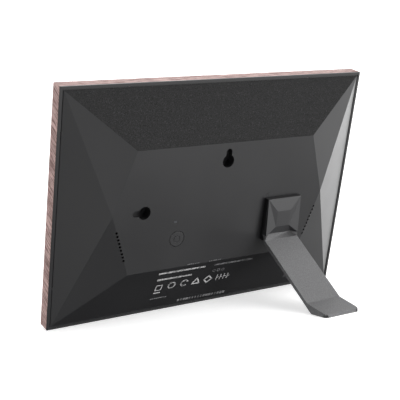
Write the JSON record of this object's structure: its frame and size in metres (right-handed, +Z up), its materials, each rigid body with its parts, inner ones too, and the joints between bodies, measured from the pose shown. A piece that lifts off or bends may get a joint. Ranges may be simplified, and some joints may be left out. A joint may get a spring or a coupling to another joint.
{
  "type": "digital photo frame",
  "caption": "Tabletop digital photo frame with a wood-look surround, a faceted black back, keyhole hangers, a power button, and a swivelling, folding easel leg.",
  "frame": {"origin": "centre of the footprint on the surface that the frame stands on", "axes": "+X along the screen's long side, +Y out of the back towards the foot, +Z up; the screen faces -Y"},
  "size_m": [0.2148, 0.1, 0.1465],
  "materials": {
    "surround_wood": "wood-look foil with fine slanting grain",
    "housing": "moulded black with fine grain",
    "swivel_body": "smooth satin black",
    "leg_plastic": "spark-eroded dark grey grain",
    "button": "fine grain",
    "cover_glass": "clear, polished",
    "mat_card": "off-white card",
    "display": "dark, switched off",
    "steel": "plated",
    "sheet_steel": "galvanised sheet",
    "circuit_board": "green solder mask",
    "chip": "moulded black",
    "connector": "ivory",
    "ribbon": "amber film",
    "contact": "gold plated",
    "rubber": "matt",
    "speaker": "matt",
    "wire": "insulated",
    "light_pipe": "clear acrylic"
  },
  "bodies": {
    "frame": {"surround": "surround_wood", "cover_glass": "cover_glass", "mat_board": "mat_card", "lcd_panel": "display", "backlight_unit": "sheet_steel", "chassis_plate": "sheet_steel", "chassis_screws": "steel", "rear_housing": "housing", "main_board": "circuit_board", "board_screws": "steel", "processor_shield": "sheet_steel", "memory_chip": "chip", "wireless_module": "sheet_steel", "antenna": "contact", "antenna_lead": "wire", "display_connector": "connector", "display_ribbon": "ribbon", "touch_connector": "connector", "touch_ribbon": "ribbon", "inlet_shell": "steel", "inlet_tongue": "chip", "tact_switch": "chip", "switch_dome": "contact", "indicator_led": "connector", "light_pipe": "light_pipe", "speaker_left": "speaker", "speaker_right": "speaker", "speaker_gasket_left": "rubber", "speaker_gasket_right": "rubber", "speaker_socket_left": "connector", "speaker_socket_right": "connector", "speaker_lead_left": "wire", "speaker_lead_right": "wire", "swivel_washer": "steel"},
    "swivel": {"swivel_base": "swivel_body", "swivel_cap": "leg_plastic", "swivel_retainer": "steel", "swivel_screws": "steel", "hinge_pin": "steel", "hinge_washers": "steel"},
    "leg": {"stand_leg": "leg_plastic", "foot_pad": "rubber"},
    "button": {"power_button": "button", "switch_plunger": "connector"}
  },
  "joints": [
    {"name": "stand_swivel", "type": "hinge", "parent": "frame", "child": "swivel", "pos_m": [-0.045, -0.01026, 0.05478], "axis": [0, 0.9589, -0.2839], "range_deg": [0, 90]},
    {"name": "leg_fold", "type": "hinge", "parent": "swivel", "child": "leg", "pos_m": [-0.045, -0.01172, 0.04139], "axis": [1, 0, 0], "range_deg": [-66.8, 0]},
    {"name": "button_press", "type": "slide", "parent": "frame", "child": "button", "axis": [0, -0.9589, 0.2839], "range_m": [0, 0.0005], "stiffness_N_per_m": 1500, "springref_m": -0.0005}
  ]
}
